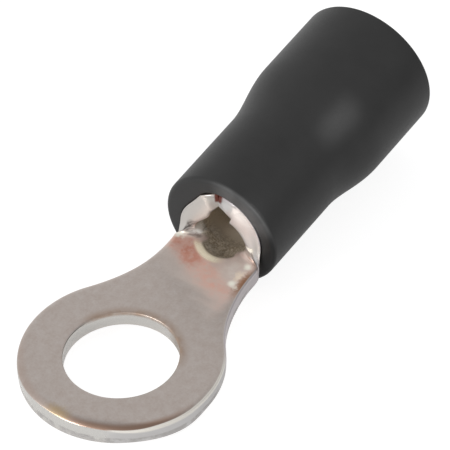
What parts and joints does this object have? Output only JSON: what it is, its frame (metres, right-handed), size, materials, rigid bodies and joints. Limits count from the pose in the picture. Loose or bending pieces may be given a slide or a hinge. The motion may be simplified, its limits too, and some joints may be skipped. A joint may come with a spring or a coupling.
{
  "type": "insulated ring terminal",
  "caption": "Ring terminal stamped and rolled from tinned copper sheet, with a flat ring tongue for a stud and a wire barrel in a black flared vinyl insulating sleeve",
  "frame": {"origin": "centre of the stud hole on the underside of the tongue, the face that is clamped to the contact", "axes": "+Z along the stud hole's axis, out of the tongue's upper face; +Y from the ring along the wire barrel towards the wire entry; +X to the right seen from the ring's end"},
  "size_m": [0.0094, 0.0258, 0.007],
  "materials": {
    "tinned_copper": "matt electro-tinned copper sheet with a fine rolled grain",
    "black_vinyl": "moulded black PVC with a soft satin sheen"
  },
  "bodies": {
    "root": {"ring_terminal": "tinned_copper", "insulating_sleeve": "black_vinyl"}
  },
  "joints": []
}
